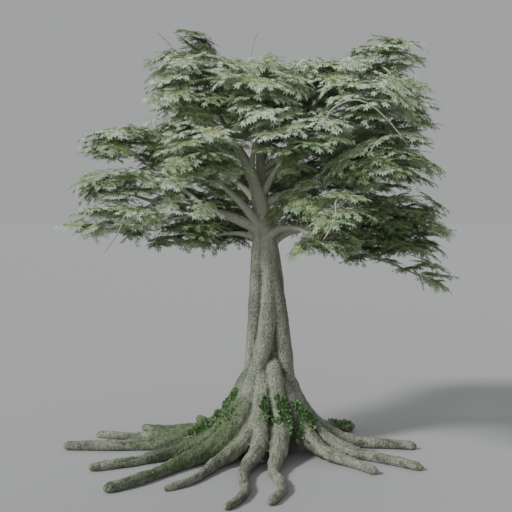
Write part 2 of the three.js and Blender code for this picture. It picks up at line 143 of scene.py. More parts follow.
# mass carried, limb sprung from, height there, base radius, how far out it bends and how far that lifts it
BOUGHS = (
    ("top_left", "trunk", 8.1, 0.3, 0.1, 2.5),
    ("top_middle", "trunk", 8.1, 0.27, 0.4, 0.0),
    ("left_arm", "trunk", 8.25, 0.22, 0.4, 0.45),
    ("left_middle", "trunk", 8.35, 0.19, 0.5, 0.15),
    ("right_low", "trunk", 7.65, 0.205, 0.4, 1.25),
    ("right_low_front", "trunk", 7.9, 0.16, 0.4, 0.7),
    ("back_low", "trunk", 7.8, 0.16, 0.45, 0.3),
    ("back_right", "trunk", 8.25, 0.18, 0.45, 0.35),
    ("back_left", "top_left", 9.3, 0.15, 0.45, 0.25),
    ("front_top", "top_left", 10.5, 0.12, 0.4, 0.3),
    ("top_left_plume", "top_left", 11.5, 0.11, 0.5, 0.15),
    ("right_middle", "top_middle", 9.25, 0.17, 0.4, 0.35),
    ("middle_front", "top_middle", 9.6, 0.14, 0.45, 0.25),
    ("right_front_top", "top_middle", 10.6, 0.12, 0.4, 0.25),
    ("right_upper", "top_middle", 10.4, 0.15, 0.4, 0.3),
    ("back_top", "top_middle", 10.9, 0.13, 0.45, 0.15),
    ("top_right", "top_middle", 11.3, 0.125, 0.4, 0.2),
    ("top_right_plume", "top_middle", 11.9, 0.115, 0.4, 0.4),
    ("left_low", "trunk", 7.9, 0.15, 0.5, 0.3),
    ("left_upper_arm", "left_arm", 9.1, 0.095, 0.4, 0.15),
    ("left_low_arm", "left_arm", 8.9, 0.095, 0.4, 0.3),
    ("right_low_tip", "right_low", 8.4, 0.085, 0.5, 0.0),
)
LEADERS = {"top_left": "leader_left", "top_middle": "leader_right"}
BOUGH_TIP_SHARE = 0.42
BOUGH_ENTRY = 0.78  # where a bough ends inside its mass, as a share of the mass's half size
PLACES_ON_LIMB = 48
FORK_HEIGHT = 8.5
FORK_RADIUS = 0.43
LEAN = (0.0, 0.07, -0.15)  # sideways place of the trunk's middle at the foot, the knee and the fork
KNEE_HEIGHT = 3.4


def mix(low, high, share):
    return low + (high - low) * share


def smooth_step(value, low, high):
    share = np.clip((value - low) / (high - low), 0, 1)
    return share * share * (3 - 2 * share)


def trunk_middle(height):
    """Places of the trunk's middle line at the given heights."""
    height = np.asarray(height, float)
    foot, knee, fork = LEAN
    below = mix(foot, knee, smooth_step(height, 0, KNEE_HEIGHT))
    above = mix(knee, fork, (height - KNEE_HEIGHT) / (FORK_HEIGHT - KNEE_HEIGHT))
    x = np.where(height < KNEE_HEIGHT, below, above)
    return np.stack([x, 0 * x, height], axis=-1)


def share_out(mass, places):
    """0 in the middle of a mass's space, 1 at its edge."""
    centre, half, _ = MASSES[mass]
    away = np.abs(np.asarray(places) - centre) / half
    return (away**SPACE_POWER).sum(axis=-1) ** (1 / SPACE_POWER)


def on_bend(start, bend, end, share):
    """Places on a curve of one bend, at the given shares of it."""
    return (1 - share) ** 2 * start + 2 * share * (1 - share) * bend + share**2 * end


def read_off(line, run, wanted):
    """Places on a line at the wanted distances, where run is the distance of each of its own places."""
    return np.stack([np.interp(wanted, run, line[:, axis]) for axis in range(3)], axis=1)


def bent_line(start, bend, end, count):
    """Places on a curve of one bend, the same distance apart."""
    line = on_bend(start, bend, end, np.linspace(0, 1, 201)[:, None])
    run = np.concatenate([[0], np.cumsum(np.linalg.norm(np.diff(line, axis=0), axis=1))])
    return read_off(line, run, np.linspace(0, run[-1], count + 1))


bough_lines = {}
bough_radii = {}
for mass, parent, height, radius, out, lift in BOUGHS:
    if parent == "trunk":
        start = trunk_middle(height)
    else:
        parent_line = bough_lines[parent]
        start = parent_line[np.argmin(np.abs(parent_line[:, 2] - height))]
    centre = np.array(MASSES[mass][0])
    tip = centre + (start - centre) * BOUGH_ENTRY / share_out(mass, start)
    bend = mix(start, tip, out) + (0, 0, lift)
    bough_lines[mass] = bent_line(start, bend, tip, PLACES_ON_LIMB)
    bough_radii[mass] = radius * np.linspace(1, BOUGH_TIP_SHARE, PLACES_ON_LIMB + 1)


def lumps(places, size, seed):
    """Smooth seeded unevenness from -1 to 1, with swellings of about the given size."""
    cells = places / size
    base = np.floor(cells).astype(np.int64)
    part = cells - base
    part = part * part * (3 - 2 * part)
    total = np.zeros(len(places))
    for corner in itertools.product((0, 1), repeat=3):
        key = (base + corner) @ np.array([73856093, 19349663, 83492791]) + seed * 668265263
        key = ((key ^ (key >> 13)) * 1274126177) & 0xFFFFFFFF
        key = ((key ^ (key >> 16)) * 2246822519) & 0xFFFFFFFF
        weight = np.prod(np.where(corner, part, 1 - part), axis=1)
        total += weight * ((key ^ (key >> 15)) & 0xFFFF) / 0xFFFF
    return 2 * total - 1


def walls(count, sides):
    """Triangles between a number of rings of corners, each ring joined to the next."""
    first = np.arange((count - 1) * sides).reshape(count - 1, sides)
    second = np.roll(first, -1, axis=1)
    faces = np.stack([first, second, second + sides, first, second + sides, first + sides], axis=-1)
    return faces.reshape(-1, 3)


def skin(rings):
    """Corners and triangles of a closed skin over rings of places, with both ends closed by a fan."""
    count, sides = rings.shape[:2]
    corners = np.concatenate([rings.reshape(-1, 3), rings[[0, -1]].mean(axis=1)])
    ring = np.arange(sides)
    after = np.roll(ring, -1)
    last = (count - 1) * sides
    start_fan = np.stack([after, ring, np.full(sides, count * sides)], axis=1)
    end_fan = np.stack([last + ring, last + after, np.full(sides, count * sides + 1)], axis=1)
    return corners, np.concatenate([walls(count, sides), start_fan, end_fan])


ASKEW = (0.31, 0.87, 0.38)  # a heading that no limb follows


def unit(vectors):
    return vectors / np.linalg.norm(vectors, axis=-1, keepdims=True)


def tube(line, radii, sides):
    """Corners and triangles of a round limb along a line of places."""
    ahead = unit(np.gradient(line, axis=0))
    across = np.cross(ahead[0], ASKEW)
    rings = []
    turn = around(sides)[:, None]
    for place, forward, radius in zip(line, ahead, radii):
        across = unit(across - forward * (across @ forward))
        other = np.cross(forward, across)
        rings.append(place + radius * (np.cos(turn) * across + np.sin(turn) * other))
    return skin(np.array(rings))


def joined(parts):
    """Several skins as one."""
    corners = np.concatenate([part[0] for part in parts])
    starts = np.cumsum([0] + [len(part[0]) for part in parts[:-1]])
    return corners, np.concatenate([part[1] + start for part, start in zip(parts, starts)])


def link(graph, kind, inputs=None, **settings):
    """A new node of a material's graph, with its settings made and its inputs set or linked."""
    node = graph.nodes.new("ShaderNode" + kind)
    for key, value in settings.items():
        setattr(node, key, value)
    for key, value in (inputs or {}).items():
        if isinstance(value, bpy.types.NodeSocket):
            graph.links.new(value, node.inputs[key])
        else:
            node.inputs[key].default_value = value
    return node


def tone(graph, value, low, high, colours):
    """A colour that goes from the first of two to the second as value goes from low to high."""
    ramp = link(graph, "ValToRGB", {"Fac": value})
    for stop, place, colour in zip(ramp.color_ramp.elements, (low, high), colours):
        stop.position = place
        stop.color = colour
    return ramp.outputs["Color"]


def blended(graph, share, one, other, blend):
    inputs = {0: share, 6: one, 7: other}
    return link(graph, "Mix", inputs, data_type="RGBA", blend_type=blend).outputs[2]


BARK_PALE = (0.35, 0.37, 0.295, 1)
BARK_GREY = (0.20, 0.22, 0.165, 1)
BARK_PIT = (0.33, 0.34, 0.28, 1)
BARK_SPOT = (0.60, 0.61, 0.53, 1)
BARK_STREAK = (0.42, 0.42, 0.38, 1)
# painted shade in the hollows between strands and roots
BARK_HOLLOW_SHADE = (0.25, 0.26, 0.21, 1)
# pale young bark, made paler still as painted light for the boughs in the crown's shade
BARK_YOUNG_AND_LIT = (0.43, 0.43, 0.335, 1)
BARK_CREASE = (0.36, 0.38, 0.32, 1)
MOSS_DARK = (0.032, 0.056, 0.02, 1)
MOSS_PALE = (0.14, 0.205, 0.09, 1)
MOSS_SIDE = (-1.28, 1, 0)  # heading of the side that bears the most moss
WHITE = (1, 1, 1, 1)
BLACK = (0, 0, 0, 1)
STREAKS_ROUND = 9.0  # streaks for each radian round the trunk
STREAKS_ALONG = 0.8  # and for each metre along it or along a root
CREASES = (11.0, 1.3, 1.0)  # for each metre across a root, for each metre along it, and from root to root


def noise(graph, where, scale, detail, roughness):
    inputs = {"Vector": where, "Scale": scale, "Detail": detail, "Roughness": roughness}
    return link(graph, "TexNoise", inputs).outputs[0]


def ranged(graph, value, low, high, at_low, at_high):
    """A number that goes from at_low to at_high as value goes from low to high."""
    inputs = {"Value": value, 1: low, 2: high, 3: at_low, 4: at_high}
    return link(graph, "MapRange", inputs).outputs[0]


def reckoned(graph, operation, one, other):
    return link(graph, "Math", {0: one, 1: other}, operation=operation).outputs[0]


def vector_math(graph, operation, *values):
    return link(graph, "VectorMath", dict(enumerate(values)), operation=operation)


def scaled(graph, vector, scale):
    return link(graph, "Mapping", {"Vector": vector, "Scale": scale}).outputs[0]


def bark_material(name, low_youth_and_light, high_youth_and_light):
    """Speckled bark, paler on the young wood high up, partly as painted light where the crown shades the
    boughs, darkened in its hollows as painted shade, with moss near the ground, most of it at the left.
    """
    material = plain_material(name, BARK_PALE, 0.9)
    graph = material.node_tree
    shader = graph.nodes["Principled BSDF"]
    where = link(graph, "TexCoord").outputs["Object"]
    place = link(graph, "SeparateXYZ", {"Vector": where}).outputs
    drawn = scaled(graph, where, (1, 1, 0.7))
    patches = noise(graph, drawn, 2.2, 5, 0.5)
    pits = noise(graph, drawn, 16, 6, 0.7)
    specks = link(graph, "TexVoronoi", {"Vector": drawn, "Scale": 15}).outputs[0]

    flat = vector_math(graph, "MULTIPLY", where, (1, 1, 0)).outputs[0]
    heading = vector_math(graph, "NORMALIZE", flat).outputs[0]
    reach = vector_math(graph, "LENGTH", flat).outputs["Value"]
    along = reckoned(graph, "ADD", place["Z"], reach)
    along = link(graph, "CombineXYZ", {"Z": along}).outputs[0]
    grain = vector_math(graph, "ADD", heading, along).outputs[0]
    grain = scaled(graph, grain, (STREAKS_ROUND, STREAKS_ROUND, STREAKS_ALONG))
    streaks = noise(graph, grain, 1, 6, 0.6)
    on_root = link(graph, "Attribute", attribute_name="on_root").outputs["Vector"]
    creases = noise(graph, scaled(graph, on_root, CREASES), 1, 5, 0.6)

    hollow = link(graph, "Attribute", attribute_name="hollow").outputs["Fac"]
    streaked = tone(graph, streaks, 0.34, 0.5, (BARK_STREAK, WHITE))
    pitted = tone(graph, pits, 0.40, 0.53, (BARK_PIT, WHITE))
    spotted = tone(graph, specks, 0.1, 0.3, (BARK_SPOT, BLACK))
    # painted shade: the bark is darker the deeper it lies in a hollow
    hollow_shaded = tone(graph, hollow, 0.02, 0.5, (WHITE, BARK_HOLLOW_SHADE))
    creased = tone(graph, creases, 0.36, 0.52, (BARK_CREASE, WHITE))
    crease_share = ranged(graph, place["Z"], 0.8, 2.2, 0.8, 0)
    # young bark, partly painted light, comes in with height
    youth_and_light = ranged(graph, place["Z"], 6.5, 9.5, low_youth_and_light, high_youth_and_light)
    bare = tone(graph, patches, 0.3, 0.7, (BARK_GREY, BARK_PALE))
    for share, other, blend in (
        (0.35, streaked, "MULTIPLY"),
        (0.8, pitted, "MULTIPLY"),
        (0.3, spotted, "LIGHTEN"),
        (0.9, hollow_shaded, "MULTIPLY"),
        (crease_share, creased, "MULTIPLY"),
        (youth_and_light, BARK_YOUNG_AND_LIT, "MIX"),
    ):
        bare = blended(graph, share, bare, other, blend)

    facing = link(graph, "NewGeometry").outputs["Normal"]
    up = link(graph, "SeparateXYZ", {"Vector": facing}).outputs["Z"]
    leftward = vector_math(graph, "DOT_PRODUCT", where, MOSS_SIDE).outputs["Value"]
    amount = ranged(graph, place["X"], -1.2, 0.5, 1.05, 0.26)
    for factor in (
        ranged(graph, place["X"], -6.0, -2.4, 0.3, 1),
        ranged(graph, place["Z"], 1.6, 4.0, 1, 0.1),
        ranged(graph, leftward, -0.6, 0.5, 0.45, 1),
        ranged(graph, up, -0.6, 0.8, 0.55, 1),
    ):
        amount = reckoned(graph, "MULTIPLY", amount, factor)
    growth = ranged(graph, noise(graph, where, 1.9, 7, 0.65), 0.3, 0.7, 0.25, 0.75)
    amount = reckoned(graph, "ADD", amount, growth)
    cover = ranged(graph, amount, 0.85, 1.2, 0, 0.85)
    moss = tone(graph, pits, 0.35, 0.65, (MOSS_DARK, MOSS_PALE))
    # the moss also takes the streaks, the painted shade of the hollows and the creases
    for share, other in ((0.6, streaked), (0.7, hollow_shaded), (crease_share, creased)):
        moss = blended(graph, share, moss, other, "MULTIPLY")
    colour = blended(graph, cover, bare, moss, "MIX")
    graph.links.new(colour, shader.inputs["Base Color"])

    relief = pits
    for other in (specks, streaks, creases):
        relief = reckoned(graph, "ADD", relief, other)
    bump = link(graph, "Bump", {"Strength": 0.8, "Distance": 0.035, "Height": relief})
    graph.links.new(bump.outputs[0], shader.inputs["Normal"])
    return material


BOUGH_SIDES = 12
BOUGH_SWELLING = 0.1  # unevenness of a bough, as a share of its radius
BOUGH_LUMP = 0.35  # and its length
bough_parts = []
for index, (mass, *_) in enumerate(BOUGHS):
    swelling = 1 + BOUGH_SWELLING * lumps(bough_lines[mass], BOUGH_LUMP, index)
    bough_parts.append(tube(bough_lines[mass], bough_radii[mass] * swelling, BOUGH_SIDES))
bark = bark_material("bark", 0, 0.75)
boughs = mesh_object("boughs", *joined(bough_parts), bark, True)
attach(boughs, "root")
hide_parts(*(LEADERS.get(mass, "bough_" + mass) for mass, *_ in BOUGHS))

# Trunk and roots: strands of wood fused into one fluted bole, which run on over the ground as long roots
# with blunt ends. The bark is pale, pitted and speckled, with moss on the roots, most of it at the left.
FORK_DOME = 0.32
FORK_CLOSING = 0.8
FOOT_RADIUS = 1.29
CORE_SHARE = 0.7  # radius of the bole's core, as a share of the radius over its strands
FLARE_REACH = 0.28
FLARE_HOLLOW = 0.3
FLARE_HEIGHT = 0.7
FLARE_WIDTH = 0.17
STRAND_THICK = 0.38  # radius of a strand, as a share of the bole's
STRAND_PROUD = 1.02  # how far out a strand reaches, as a share of the bole's radius
STRAND_STEPS = 60
STRAND_EASING = 6  # steps to either side over which a strand's heading is evened out
STRANDS = (  # heights and headings (degrees) that each strand of the bole runs through, from the foot up
    ((0.4, 194), (2.4, 192), (3.3, 190), (4.6, 189), (8.5, 216)),
    ((0.4, 212), (2.4, 207), (3.4, 232), (4.3, 259), (6.0, 277), (8.5, 284)),
    ((0.4, 348), (2.0, 342), (3.3, 331), (4.6, 328), (6.7, 308), (8.5, 312)),
    ((0.4, 30), (3.0, 26), (8.5, 0)),
    ((0.4, 66), (3.0, 72), (8.5, 60)),
    ((0.4, 128), (3.0, 124), (8.5, 112)),
    ((0.4, 160), (3.0, 158), (8.5, 168)),
)
ROOT_START = 0.62
ROOT_RISE = 2.85
ROOT_FALL = 0.85
ROOT_REST = 0.72
ROOT_BASE_RADIUS = 0.33
ROOT_TIP_RADIUS = 0.185
ROOT_WAVES = 1.6
ROOT_PROUD = (0.16, -0.5)  # how far a root stands out of the bole where it runs down it, low and high
ROOT_FADE = 1.5  # length over which a root's top sinks into the bole
ROOT_TOP = 3.3  # height of that top, where no other is given
ROOT_TOP_SHARE = 0.6  # thickness there, as a share of the root's
CLIMB_HEIGHTS = (0.5, 1.6)  # a root swings over to its heading on the bole between these heights
CLIMB_STEPS = 10
CLIMBS = {  # heading on the bole and height of the top of the roots that climb higher, over the front
    "root_front_left_inner": (246, 2.2),
    "root_front": (252, 3.75),
    "root_front_right": (287, 4.1),
}
ROOT_TIP_LENGTH = 0.17  # length over which a root's end is rounded
ROOT_TIP_SHARE = 0.15  # share of its section that is left at the very end
BUTTRESS_SWELLING = (0.5, 0.75)  # how much thicker a root is beside the bole, at the right and at the left
BUTTRESS_WIDTH = (1.3, 2.0)  # length of that swelling along the root, at the right and at the left
BUTTRESS_PLACE = 1.8  # its distance from the trunk's middle
BUTTRESS_HEADING = 205  # degrees: the side where the roots are the most swollen
# heading of each root where it starts at the trunk and at its end (degrees), reach, winding and thickness
ROOTS = {
    "root_left": (190, 184, 7.8, 0.06, 1),
    "root_left_rear": (172, 170, 7.0, 0.08, 0.85),
    "root_rear_left": (150, 156, 5.7, 0.06, 0.9),
    "root_rear_left_inner": (128, 129, 4.8, 0.09, 0.85),
    "root_left_front": (205, 207, 7.1, 0.06, 0.95),
    "root_front_left": (221, 226, 7.75, 0.07, 1.05),
    "root_front_left_inner": (241, 238, 6.4, 0.17, 0.75),
    "root_front": (259, 260, 7.3, 0.23, 0.8),
    "root_front_right": (279, 271, 6.75, 0.26, 0.82),
    "root_right_front": (318, 316, 5.25, 0.07, 0.88),
    "root_right": (337, 330, 6.3, 0.06, 0.95),
    "root_right_rear": (358, 355, 5.7, 0.05, 0.95),
    "root_rear_right": (30, 33, 4.3, 0.06, 0.9),
    "root_rear": (64, 72, 5.0, 0.12, 0.9),
    "root_rear_inner": (96, 99, 6.3, 0.12, 0.95),
}
TRUNK_SIDES = 150
TRUNK_RINGS = 150
ROOT_SIDES = 16
ROOT_STEPS = 64
WOOD_GRAIN = 0.053  # size of the squares that trunk and roots are melted together from
STUB_LEAST_RADIUS = 0.1  # a bough goes into the melted wood as far as it is thicker than this
STUB_SWELLING = (1.22, 0.94)  # its thickness there, at its start and its end, as a share of its own
BARK_LUMPS = ((0.022, 0.5, 1), (0.014, 0.16, 2.5), (0.008, 0.08, 1))  # height, size and upward stretch
LOW_LUMPS = 1.7  # how much higher the lumps are near the ground
LOW_LUMPS_FADE = (1.5, 4)  # heights between which that fades
GROUND_FADE = 0.15  # height over which the lumps come in above the ground
GROUND_SNAP = 0.03  # wood lower than this lies on the ground


def bole_radius(height):
    return mix(FOOT_RADIUS, FORK_RADIUS, np.minimum(height / FORK_HEIGHT, 1))


def core_rings():
    top = FORK_HEIGHT + FORK_DOME
    height = np.linspace(0, top, TRUNK_RINGS)[:, None]
    angle = around(TRUNK_SIDES)[None, :]
    flare = np.zeros_like(angle)
    for starts, *_ in ROOTS.values():
        away = np.angle(np.exp(1j * (angle - math.radians(starts))))
        flare = np.maximum(flare, np.exp(-((away / FLARE_WIDTH) ** 2)))
    foot = mix(-FLARE_HOLLOW, FLARE_REACH, flare) * np.exp(-height / FLARE_HEIGHT)
    over = np.maximum(0, height - FORK_HEIGHT + FORK_DOME) / (2 * FORK_DOME)
    radius = (CORE_SHARE * bole_radius(height) + foot) * np.sqrt(1 - FORK_CLOSING * over**2)
    return trunk_middle(height) + radius[:, :, None] * heading_at(angle)


def strand_limb(knots):
    heights, headings = np.array(knots).T
    height = np.linspace(heights[0], heights[-1], STRAND_STEPS)
    heading = np.radians(np.interp(height, heights, np.unwrap(headings, period=360)))
    span = 2 * STRAND_EASING + 1
    heading = np.convolve(np.pad(heading, STRAND_EASING, "edge"), np.ones(span) / span, "valid")
    radii = STRAND_THICK * bole_radius(height)
    out = STRAND_PROUD * bole_radius(height) - radii
    return tube(trunk_middle(height) + out[:, None] * heading_at(heading), radii, ROOT_SIDES)


def root_course(name, share):
    """Heading of a root (degrees) and its swing aside from that, at the given shares of its length."""
    starts, heads, _, sway, _ = ROOTS[name]
    aside = sway * np.sin(2 * math.pi * ROOT_WAVES * share) * np.sqrt(share)
    return mix(starts, heads, smooth_step(share, 0, 1)), aside


def root_limb(name):
    starts, _, reach, _, thick = ROOTS[name]
    climb_heading, top = CLIMBS.get(name, (starts, ROOT_TOP))
    share = np.linspace(0, 1, ROOT_STEPS + 1)
    out = mix(ROOT_START, reach, share)
    radii = thick * mix(ROOT_BASE_RADIUS, ROOT_TIP_RADIUS, np.sqrt(share))
    height = ROOT_REST * radii + ROOT_RISE * np.exp((ROOT_START - out) / ROOT_FALL)
    above = np.linspace(top, height[0], CLIMB_STEPS, endpoint=False)
    height = np.concatenate([above, height])
    share, out, radii = (np.pad(values, (CLIMB_STEPS, 0), "edge") for values in (share, out, radii))
    angle, aside = root_course(name, share)
    angle = np.radians(mix(angle, climb_heading, smooth_step(height, *CLIMB_HEIGHTS)))
    leftness = (0.5 + 0.5 * math.cos(math.radians(starts - BUTTRESS_HEADING))) ** 2
    from_buttress = (out - BUTTRESS_PLACE) / mix(*BUTTRESS_WIDTH, leftness)
    radii = radii * (1 + mix(*BUTTRESS_SWELLING, leftness) * np.exp(-(from_buttress**2)))
    radii = radii * np.sqrt(np.clip((reach - out) / ROOT_TIP_LENGTH, ROOT_TIP_SHARE, 1))
    fade = smooth_step(height, top - ROOT_FADE, top)
    radii = radii * mix(1, ROOT_TOP_SHARE, fade)
    on_bole = bole_radius(height) - radii + mix(*ROOT_PROUD, fade)
    out = np.where(share > 0, np.maximum(out, on_bole), on_bole)
    x = out * np.cos(angle) - aside * np.sin(angle)
    y = out * np.sin(angle) + aside * np.cos(angle)
    return tube(np.stack([x, y, height], axis=1), radii, ROOT_SIDES)


wood_parts = [skin(core_rings())] + [strand_limb(knots) for knots in STRANDS]
for name in ROOTS:
    corners, faces = root_limb(name)
    corners[:, 2] = np.maximum(corners[:, 2], 0)
    wood_parts.append((corners, faces))
for mass, parent, *_ in BOUGHS:
    thick = bough_radii[mass] > STUB_LEAST_RADIUS
    if parent == "trunk" and thick.sum() > 1:
        line = bough_lines[mass][thick]
        radii = bough_radii[mass][thick] * np.linspace(*STUB_SWELLING, len(line))
        wood_parts.append(tube(line, radii, BOUGH_SIDES))

wood = mesh_object("trunk_and_roots", *joined(wood_parts), bark, True)
melt = wood.modifiers.new("melt", "REMESH")
melt.mode = "VOXEL"
melt.voxel_size = WOOD_GRAIN
ease = wood.modifiers.new("ease", "SMOOTH")
ease.factor = 0.5
ease.iterations = 2
seen = wood.evaluated_get(bpy.context.evaluated_depsgraph_get())
melted = bpy.data.meshes.new_from_object(seen)
wood.modifiers.clear()
wood.data = melted
melted.polygons.foreach_set("use_smooth", np.full(len(melted.polygons), True))
places = np.empty((len(melted.vertices), 3))
facing = np.empty_like(places)
melted.vertices.foreach_get("co", places.ravel())
melted.vertices.foreach_get("normal", facing.ravel())
swell = np.zeros(len(places))
for seed, (high, size, stretch) in enumerate(BARK_LUMPS, 1):
    swell += high * lumps(places * (1, 1, 1 / stretch), size, seed)
swell *= mix(LOW_LUMPS, 1, smooth_step(places[:, 2], *LOW_LUMPS_FADE))
places += facing * (swell * smooth_step(places[:, 2], 0, GROUND_FADE))[:, None]
places[:, 2] = np.where(places[:, 2] < GROUND_SNAP, 0, places[:, 2])
melted.vertices.foreach_set("co", places.ravel())
melted.update()

# How deep each place lies in a hollow between strands or roots, where the bark is darkened as painted shade.
HOLLOW_PASSES = 60
HOLLOW_DEPTH = 0.12
edges = np.empty(2 * len(melted.edges), int)
melted.edges.foreach_get("vertices", edges)
edges = np.concatenate([edges.reshape(-1, 2), edges.reshape(-1, 2)[:, ::-1]])
neighbours = np.bincount(edges[:, 0], minlength=len(places))[:, None]
eased = places
for _ in range(HOLLOW_PASSES):
    sums = [np.bincount(edges[:, 0], eased[edges[:, 1], axis], len(places)) for axis in range(3)]
    eased = np.stack(sums, axis=1) / neighbours
depth = ((eased - places) * facing).sum(axis=1) / HOLLOW_DEPTH
hollow = melted.attributes.new("hollow", "FLOAT", "POINT")
hollow.data.foreach_set("value", np.clip(depth, 0, 1))

# Where each place lies across its root and along it, for the creases of the bark.
ROOT_APART = 7.0  # keeps the creases of one root unlike those of the next
reach_out = np.hypot(places[:, 0], places[:, 1])
turned = np.degrees(np.arctan2(places[:, 1], places[:, 0]))
across_roots = []
for name, (_, _, reach, _, _) in ROOTS.items():
    heading, aside = root_course(name, np.clip((reach_out - ROOT_START) / (reach - ROOT_START), 0, 1))
    across_roots.append(reach_out * np.radians((turned - heading + 180) % 360 - 180) - aside)
nearest = np.argmin(np.abs(across_roots), axis=0)
across = np.array(across_roots)[nearest, np.arange(len(places))]
along = reach_out + places[:, 2]
on_root = melted.attributes.new("on_root", "FLOAT_VECTOR", "POINT")
on_root.data.foreach_set("vector", np.stack([across, along, ROOT_APART * nearest], axis=1).ravel())
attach(wood, "root")
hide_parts("trunk", *ROOTS)

# Creepers: small heart-shaped leaves that grow out of the bark in clumps along the roots' ridges and in the
# hollows between them. Each leaf's foot is in the bark, and it leans up from it.
CREEPER_TINTS = {"creeper_bright": (0.20, 0.35, 0.14, 1), "creeper_deep": (0.09, 0.185, 0.07, 1)}
CREEPER_LEAF = (0.11, 0.18)  # least and most length
CREEPER_TUFTS = 4  # a clump grows in this many tufts from its start to its end
CREEPERS = (  # start and end of each clump near the bark, how far it spreads and its number of leaves
    ((-2.7, -0.5, 0.95), (-1.0, -0.7, 2.3), 0.11, 220),
    ((-3.0, -0.6, 0.7), (-2.4, -0.7, 0.95), 0.11, 130),
    ((-1.9, -1.2, 1.1), (-1.2, -1.2, 1.7), 0.16, 60),
    ((-0.2, -1.5, 2.3), (0.0, -1.6, 1.5), 0.08, 120),
    ((0.3, -1.5, 2.4), (0.45, -1.7, 1.2), 0.08, 70),
    ((0.6, -1.4, 2.2), (1.1, -1.6, 0.8), 0.15, 330),
    ((1.1, -1.2, 1.9), (1.75, -1.0, 1.25), 0.14, 260),
    ((2.6, 1.6, 0.4), (3.4, 2.1, 0.35), 0.13, 80),
    ((-1.0, 1.4, 1.8), (-1.8, 2.2, 0.7), 0.18, 220),
    ((0.9, 1.5, 1.9), (1.6, 2.2, 0.6), 0.18, 220),
)
CREEPER_OUTLINE = np.array([
    (0, -0.06, 0), (0.42, 0.28, 0.06), (-0.42, 0.28, 0.06), (0, 0.4, -0.04), (0, 1, -0.12),
])
CREEPER_FACES = np.array([(0, 1, 3), (0, 3, 2), (1, 4, 3), (3, 4, 2)])
CREEPER_BRIGHT_SHARE = 0.62
CREEPER_RISE = 0.5  # how far a leaf leans up from the bark
CREEPER_SWAY = 0.35  # and any way
CREEPER_LOWEST = 0.04  # least height of a leaf's foot
CREEPER_CLEARANCE = 0.004  # and of its edge


def repeated(faces, corners, count):
    """Triangles of many alike pieces, each of the given number of corners."""
    return (faces[None] + (np.arange(count) * corners)[:, None, None]).reshape(-1, 3)


dice = np.random.default_rng(7)
bark_tree = BVHTree.FromPolygons(places.tolist(), [tuple(face.vertices) for face in melted.polygons])
creeper_leaves = {name: [] for name in CREEPER_TINTS}
for start, end, spread, count in CREEPERS:
    for share in (np.arange(count) % CREEPER_TUFTS + 0.5) / CREEPER_TUFTS:
        near = mix(np.array(start), np.array(end), share) + dice.normal(0, spread, 3)
        foot, facing, _, _ = bark_tree.find_nearest(Vector(near))
        if foot.z < CREEPER_LOWEST:
            continue
        lean = unit(np.array(facing) + (0, 0, CREEPER_RISE) + dice.normal(0, CREEPER_SWAY, 3))
        across = unit(np.cross(lean, dice.normal(0, 1, 3)))
        leaf_axes = np.array([across, lean, np.cross(across, lean)])
        name = "creeper_bright" if dice.uniform() < CREEPER_BRIGHT_SHARE else "creeper_deep"
        corners = np.array(foot) + dice.uniform(*CREEPER_LEAF) * CREEPER_OUTLINE @ leaf_axes
        corners[:, 2] = np.maximum(corners[:, 2], CREEPER_CLEARANCE)
        creeper_leaves[name].append(corners)
for name, leaves in creeper_leaves.items():
    faces = repeated(CREEPER_FACES, len(CREEPER_OUTLINE), len(leaves))
    material = plain_material(name, CREEPER_TINTS[name], 0.5)
    clump = mesh_object(name, np.concatenate(leaves), faces, material, False)
    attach(clump, "root")

# Twigs: each mass of foliage grows from one stem of young wood that goes on from its bough's tip. Twigs leave
# the stem and end in hubs, where the stalks of a spray spread. A few long bare shoots stand out of the crown.
STEM_REACH = 0.3
STEM_BEND = 0.4
STEM_TIP_RADIUS = 0.035
STEM_SUNK = 0.12  # length of a stem inside its bough's tip
STEM_STEPS = 24
STEM_BARE = 3  # steps at a stem's foot where no fine twig leaves it
TWIG_FEET = (0.2, 0.7)
TWIG_STAGGER = 0.18
TWIG_RADII = (0.022, 0.009)
TWIG_FORKS = np.linspace(0.1, 0.9, 9)[:, None]  # where fine twigs may leave a twig
SPRAY_RADIUS = (1.55, 0.66)  # of the first and the last one tried
SPRAY_LOBES = 5
SPRAY_NOTCH = 0.6
SPRAY_DROOP = 0.48
SPRAY_TILT = 0.4
SPRAY_TRIALS = 420
SPRAY_CLEARANCE = (0.6, 0.42)  # sideways, as a share of both radii, and upright
FINE_RADIUS = (1.05, 0.6)
FINE_TRIALS = 500
CLOSENESS = {  # share of the clearance between fine sprays that is left in the densest masses
    "right_low": 0.72, "right_middle": 0.85, "back_right": 0.8, "back_left": 0.85, "back_top": 0.85,
    "back_low": 0.8,
}
FINE_SWAY = 0.45  # how far a fine spray leans any way
FINE_INSET = 0.15  # how far inside its rim it is tested
GAP_SWAY = 0.9  # how far a spray that closes a gap leans
